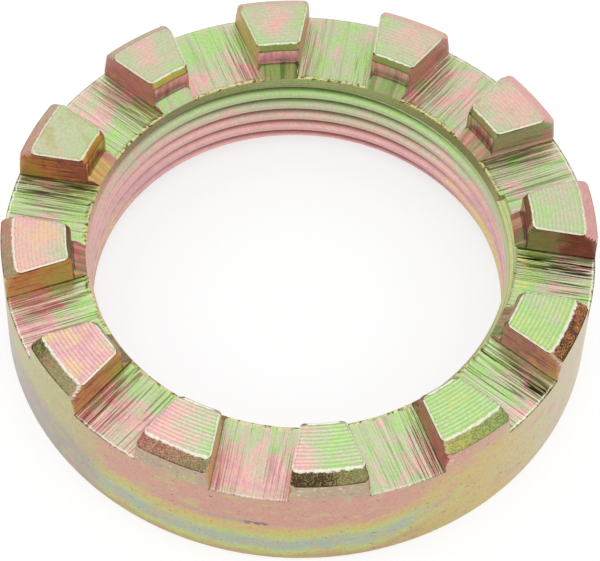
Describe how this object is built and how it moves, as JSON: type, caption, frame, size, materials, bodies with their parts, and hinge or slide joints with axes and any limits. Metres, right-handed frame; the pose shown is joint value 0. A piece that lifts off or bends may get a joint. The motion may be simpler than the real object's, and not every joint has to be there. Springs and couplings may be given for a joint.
{
  "type": "castle nut",
  "caption": "Round castle nut with a crown of square milled slots in its top face, a fine internal thread with a counterbore, and a flat bearing face.",
  "frame": {"origin": "centre of the flat bearing face, on the thread's axis", "axes": "+Z along the thread's axis, from the bearing face towards the slotted crown; +X through the middle of one slot"},
  "size_m": [0.065, 0.065, 0.016],
  "materials": {
    "zinc_chromate_steel": "turned and milled steel, zinc plated and passivated to an iridescent yellow, green and pink film"
  },
  "bodies": {
    "root": {"castle_nut": "zinc_chromate_steel"}
  },
  "joints": []
}
